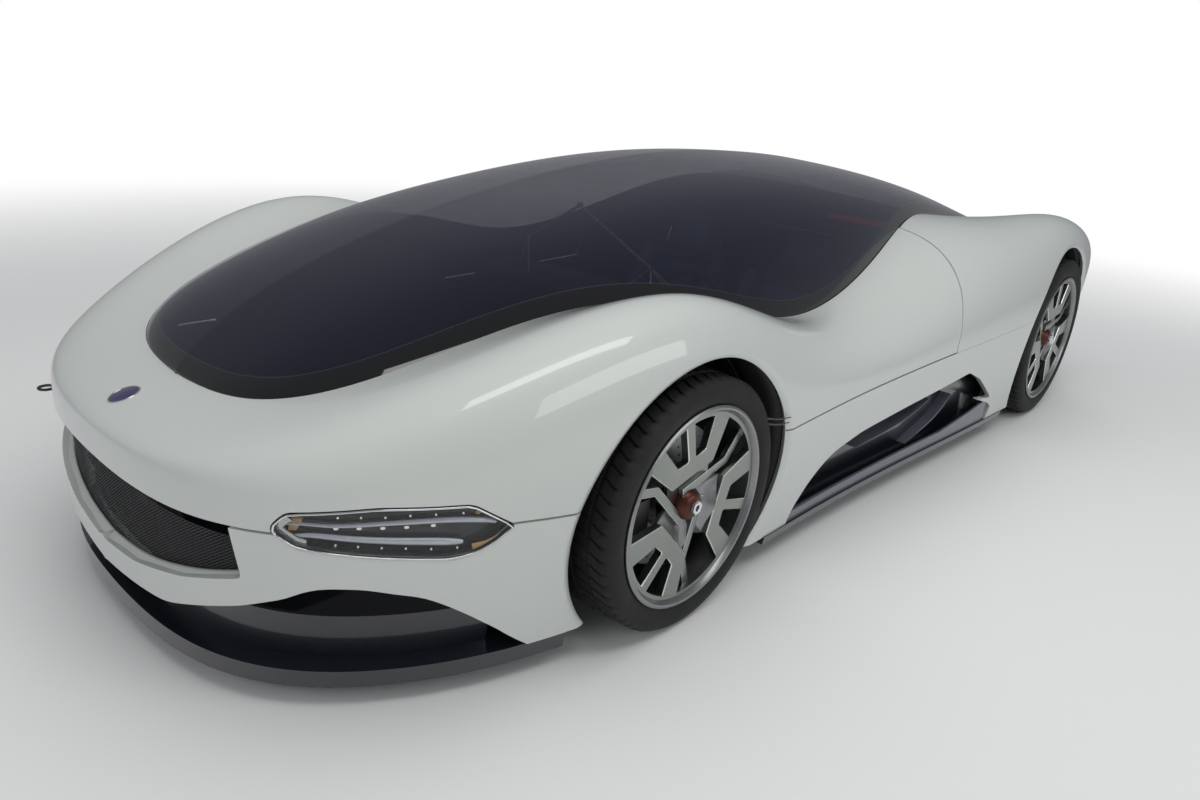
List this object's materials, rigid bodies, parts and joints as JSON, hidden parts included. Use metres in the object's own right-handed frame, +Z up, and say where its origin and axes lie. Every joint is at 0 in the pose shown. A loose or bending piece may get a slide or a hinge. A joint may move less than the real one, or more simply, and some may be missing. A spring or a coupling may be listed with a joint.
{
  "type": "supercar",
  "caption": "Low mid-engined supercar with a glass bubble canopy on a front-hinged lid, steered front wheels and hollow cabin.",
  "frame": {"origin": "on the ground below the middle of the car", "axes": "+Z up, the nose points along -Y, the car's left side is +X"},
  "size_m": [2.031, 4.66, 1.0993],
  "materials": {
    "paint": "pearl white lacquer over composite",
    "tinted_glass": "dark blue-black tint",
    "clear_lens": "clear",
    "red_lens": "red",
    "tyre_rubber": "moulded tread",
    "wheel_alloy": "machined and satin",
    "disc_steel": "turned",
    "dark_alloy": "anodised",
    "bright_steel": "polished",
    "lamp_chrome": "bright",
    "seat_leather": "dark blue",
    "black_plastic": "textured",
    "cast_metal": "as cast",
    "carbon": "lacquered carbon weave"
  },
  "bodies": {
    "root": {"centre_console": "black_plastic", "dashboard": "black_plastic", "display_truss": "dark_alloy", "engine_block": "cast_metal", "exhaust_tips": "bright_steel", "floor_tub": "carbon", "front_bumper": "paint", "front_intake": "carbon", "front_splitter": "carbon", "front_wishbones": "dark_alloy", "grille_mesh": "black_plastic", "headlamp_bowls": "lamp_chrome", "headlamp_lenses": "clear_lens", "hinge_forks": "bright_steel", "rear_bumper": "paint", "rear_clamshell": "paint", "rear_diffuser": "carbon", "rear_suspension": "dark_alloy", "seats": "seat_leather", "side_panel_left": "paint", "side_panel_right": "paint", "side_sills": "carbon", "steering_wheel": "black_plastic", "tail_lamps": "red_lens", "tow_loop": "bright_steel", "transaxle": "cast_metal", "wheel_liners": "black_plastic"},
    "lid": {"lid_shell": "paint", "canopy_glass": "tinted_glass", "canopy_flange": "black_plastic", "lid_hinge_lugs": "bright_steel"},
    "steer_front_left": {"knuckle_front_left": "dark_alloy"},
    "steer_front_right": {"knuckle_front_right": "dark_alloy"},
    "wheel_front_left": {"tyre_front_left": "tyre_rubber", "wheel_front_left": "wheel_alloy", "brake_disc_front_left": "disc_steel"},
    "wheel_front_right": {"tyre_front_right": "tyre_rubber", "wheel_front_right": "wheel_alloy", "brake_disc_front_right": "disc_steel"},
    "wheel_rear_left": {"tyre_rear_left": "tyre_rubber", "wheel_rear_left": "wheel_alloy", "brake_disc_rear_left": "disc_steel"},
    "wheel_rear_right": {"tyre_rear_right": "tyre_rubber", "wheel_rear_right": "wheel_alloy", "brake_disc_rear_right": "disc_steel"}
  },
  "joints": [
    {"name": "lid_open", "type": "hinge", "parent": "root", "child": "lid", "pos_m": [0, -2.262, 0.385], "axis": [1, 0, 0], "range_deg": [0, 35]},
    {"name": "steer_left", "type": "hinge", "parent": "root", "child": "steer_front_left", "pos_m": [0.78, -1.283, 0.338], "axis": [0, 0, 1], "range_deg": [-28, 28]},
    {"name": "steer_right", "type": "hinge", "parent": "root", "child": "steer_front_right", "pos_m": [-0.78, -1.283, 0.338], "axis": [0, 0, 1], "range_deg": [-28, 28]},
    {"name": "spin_front_left", "type": "hinge", "parent": "steer_front_left", "child": "wheel_front_left", "pos_m": [0.805, -1.283, 0.338], "axis": [1, 0, 0], "continuous": true},
    {"name": "spin_front_right", "type": "hinge", "parent": "steer_front_right", "child": "wheel_front_right", "pos_m": [-0.805, -1.283, 0.338], "axis": [1, 0, 0], "continuous": true},
    {"name": "spin_rear_left", "type": "hinge", "parent": "root", "child": "wheel_rear_left", "pos_m": [0.835, 1.367, 0.367], "axis": [1, 0, 0], "continuous": true},
    {"name": "spin_rear_right", "type": "hinge", "parent": "root", "child": "wheel_rear_right", "pos_m": [-0.835, 1.367, 0.367], "axis": [1, 0, 0], "continuous": true}
  ],
  "couplings": [
    {"joint": "steer_right", "follows": "steer_left", "ratio": 1}
  ]
}
